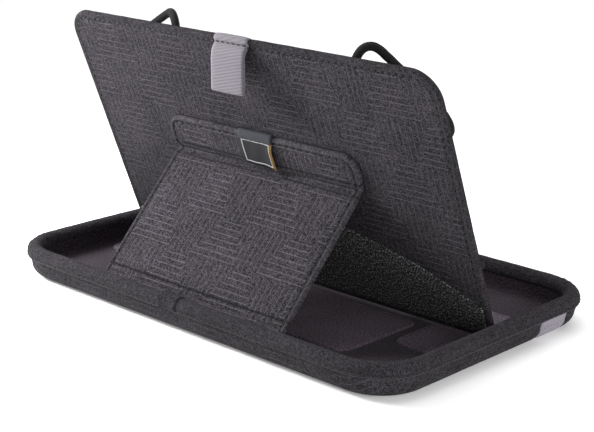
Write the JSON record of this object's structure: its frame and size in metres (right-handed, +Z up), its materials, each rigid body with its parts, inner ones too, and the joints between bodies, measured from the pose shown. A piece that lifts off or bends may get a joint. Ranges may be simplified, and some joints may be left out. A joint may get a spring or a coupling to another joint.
{
  "type": "tablet case",
  "caption": "Folio tablet case open as an easel: a moulded fabric tray, a leaning back panel with elastic corner loops, and a flap on fabric hinges that props it.",
  "frame": {"origin": "centre of the tray's footprint, on the surface it stands on", "axes": "+X along the long sides, +Y from the flap's hinge towards the far long side, +Z up"},
  "size_m": [0.234, 0.145, 0.1278],
  "materials": {
    "shell_fabric": "woven, matt",
    "panel_fabric": "heathered weave with a raised line pattern",
    "binding": "plain woven tape",
    "lining": "brushed nylon",
    "loop_pile": "loop pile for hook-and-loop",
    "foam": "moulded closed-cell foam",
    "board": "stiff greyboard",
    "grey_elastic": "ribbed elastic webbing",
    "ribbon": "twill ribbon",
    "black_elastic": "braided elastic",
    "label": "plain woven satin label"
  },
  "bodies": {
    "tray": {"outer_cover": "shell_fabric", "foam_shell": "foam", "base_board": "board", "tray_lining": "lining", "rim_binding": "binding", "floor_pad": "lining", "end_pad_left": "lining", "end_pad_right": "lining", "closure_band": "grey_elastic", "flap_hinge_tape": "lining"},
    "flap": {"flap_cover": "panel_fabric", "flap_board": "board", "flap_lining": "loop_pile"},
    "panel": {"panel_cover": "panel_fabric", "panel_board": "board", "panel_foam": "foam", "panel_lining": "lining", "panel_binding": "binding", "loop_patch": "loop_pile", "tongue_cover": "panel_fabric", "tongue_board": "board", "tongue_lining": "lining", "label": "label", "pull_tab_base": "ribbon", "elastic_loop_top_left": "black_elastic", "elastic_loop_top_right": "black_elastic", "elastic_loop_bottom_left": "black_elastic", "elastic_loop_bottom_right": "black_elastic"},
    "pull_tab": {"pull_tab": "ribbon"}
  },
  "joints": [
    {"name": "flap_hinge", "type": "hinge", "parent": "tray", "child": "flap", "pos_m": [0, -0.064, 0.0116], "axis": [1, 0, 0], "range_deg": [-16, 22]},
    {"name": "crease_hinge", "type": "hinge", "parent": "flap", "child": "panel", "pos_m": [0, -0.01722, 0.06253], "axis": [1, 0, 0], "range_deg": [-58, 42]},
    {"name": "pull_tab_swing", "type": "hinge", "parent": "panel", "child": "pull_tab", "pos_m": [0, -0.0413, 0.11916], "axis": [-1, 0, 0], "range_deg": [-24, 100]}
  ],
  "couplings": [
    {"joint": "crease_hinge", "follows": "flap_hinge", "ratio": -2.6}
  ]
}
